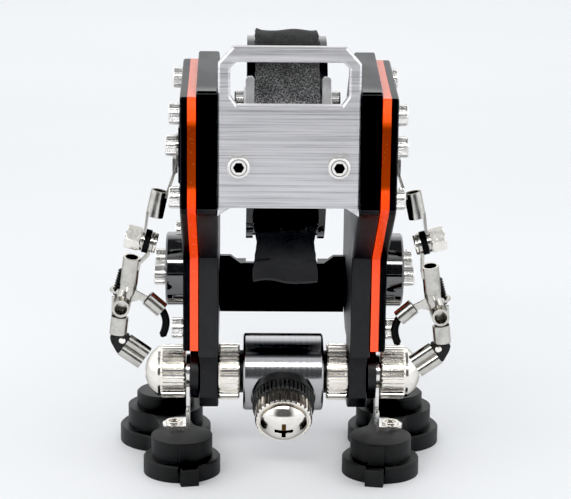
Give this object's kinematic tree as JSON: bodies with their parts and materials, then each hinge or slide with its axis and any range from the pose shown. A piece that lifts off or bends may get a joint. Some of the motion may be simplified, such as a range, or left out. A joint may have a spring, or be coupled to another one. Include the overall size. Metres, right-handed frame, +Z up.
{
  "type": "two-legged desk robot figure and watch stand",
  "caption": "Two-legged desk robot figure with sandwiched side plates, a windowed front plate, a watch hoop, hinged shoes and jointed arms of crimp terminals.",
  "frame": {"origin": "on the middle plane of the figure, on the surface that the shoes stand on; within 1 mm of the bottom centre of the bounding box, whose sides differ because the left hand hangs further out", "axes": "+Z up, -Y towards the viewer of the front plate, +X to that viewer's right; right_ nodes are on +X and left_ nodes on -X"},
  "size_m": [0.1139, 0.0944, 0.1496],
  "materials": {
    "black_anodised": "satin black anodised, bead blasted",
    "accent_acrylic": "translucent orange-red acrylic, sawn and polished edges",
    "outer_black": "black acrylic, smooth satin faces",
    "brushed_aluminium": "brushed across, bright bevelled edges",
    "stainless": "turned stainless, fine knurl",
    "nickel": "warm bright nickel, straight knurl",
    "satin_chrome": "satin chrome, turned",
    "hoop_black": "gloss black",
    "liner_felt": "charcoal grained felt-leather strip",
    "shoe_black": "matte black moulded plastic",
    "tinned": "tinned copper, rolled and crimped",
    "black_rubber": "black rubber",
    "knob_black": "black knurled plastic",
    "blackened_steel": "blackened steel"
  },
  "bodies": {
    "chassis": {"axle_cylinder": "satin_chrome", "axle_rod": "stainless", "axle_spacers": "black_anodised", "cap_screws_m3": "stainless", "cap_screws_m4": "stainless", "cross_plate": "black_anodised", "front_plate": "brushed_aluminium", "hoop": "hoop_black", "hoop_bracket": "stainless", "inner_nuts": "nickel", "left_accent_plate": "accent_acrylic", "left_hip_disc": "outer_black", "left_inner_plate": "black_anodised", "left_outer_plate": "outer_black", "mount_block": "black_anodised", "rear_blocks": "black_anodised", "right_accent_plate": "accent_acrylic", "right_hip_disc": "outer_black", "right_inner_plate": "black_anodised", "right_outer_plate": "outer_black", "strap_liner": "liner_felt"},
    "belly_knob": {"belly_collar": "knob_black", "belly_ring": "nickel", "belly_screw": "nickel"},
    "left_foot": {"left_shoe": "shoe_black", "left_shoe_bracket": "stainless", "left_shoe_rivet": "nickel"},
    "left_thumb": {"left_thumb_nut": "nickel", "left_dome_screw": "nickel"},
    "left_arm_upper": {"left_upper_arm": "tinned", "left_elbow_bolt": "nickel", "left_elbow_washer": "black_rubber", "left_elbow_nut": "nickel"},
    "left_arm_lower": {"left_forearm": "tinned", "left_palm": "tinned", "left_wrist_stud": "blackened_steel", "left_finger_barrel": "tinned", "left_finger_joint": "blackened_steel", "left_finger_rivet": "nickel", "left_finger_crimp": "tinned", "left_thumb_barrel": "tinned", "left_thumb_wire": "black_rubber"},
    "right_foot": {"right_shoe": "shoe_black", "right_shoe_bracket": "stainless", "right_shoe_rivet": "nickel"},
    "right_thumb": {"right_thumb_nut": "nickel", "right_dome_screw": "nickel"},
    "right_arm_upper": {"right_upper_arm": "tinned", "right_elbow_bolt": "nickel", "right_elbow_washer": "black_rubber", "right_elbow_nut": "nickel"},
    "right_arm_lower": {"right_forearm": "tinned", "right_palm": "tinned", "right_wrist_stud": "blackened_steel", "right_finger_barrel": "tinned", "right_finger_joint": "blackened_steel", "right_finger_rivet": "nickel", "right_finger_crimp": "tinned", "right_thumb_barrel": "tinned", "right_thumb_wire": "black_rubber"}
  },
  "joints": [
    {"name": "left_ankle", "type": "hinge", "parent": "chassis", "child": "left_foot", "pos_m": [-0.0324, 0.00714, 0.0312], "axis": [1, 0, 0], "range_deg": [-12, 12]},
    {"name": "left_thumb_nut_spin", "type": "hinge", "parent": "chassis", "child": "left_thumb", "pos_m": [-0.0375, 0.00714, 0.0312], "axis": [-1, 0, 0], "continuous": true},
    {"name": "left_shoulder", "type": "hinge", "parent": "chassis", "child": "left_arm_upper", "pos_m": [-0.0351, -0.01556, 0.1139], "axis": [-1, 0, 0], "range_deg": [-3, 45]},
    {"name": "left_elbow", "type": "hinge", "parent": "left_arm_upper", "child": "left_arm_lower", "pos_m": [-0.04525, -0.01556, 0.0822], "axis": [-0.9659, 0, 0.2588], "range_deg": [0, 60]},
    {"name": "right_ankle", "type": "hinge", "parent": "chassis", "child": "right_foot", "pos_m": [0.0324, 0.00714, 0.0312], "axis": [1, 0, 0], "range_deg": [-12, 12]},
    {"name": "right_thumb_nut_spin", "type": "hinge", "parent": "chassis", "child": "right_thumb", "pos_m": [0.0375, 0.00714, 0.0312], "axis": [1, 0, 0], "continuous": true},
    {"name": "right_shoulder", "type": "hinge", "parent": "chassis", "child": "right_arm_upper", "pos_m": [0.0351, -0.01556, 0.1139], "axis": [-1, 0, 0], "range_deg": [-3, 45]},
    {"name": "right_elbow", "type": "hinge", "parent": "right_arm_upper", "child": "right_arm_lower", "pos_m": [0.04525, -0.01556, 0.0822], "axis": [-0.9659, 0, -0.2588], "range_deg": [0, 60]},
    {"name": "belly_knob_spin", "type": "hinge", "parent": "chassis", "child": "belly_knob", "pos_m": [0, -0.01068, 0.02212], "axis": [0, -0.891, -0.454], "continuous": true}
  ]
}
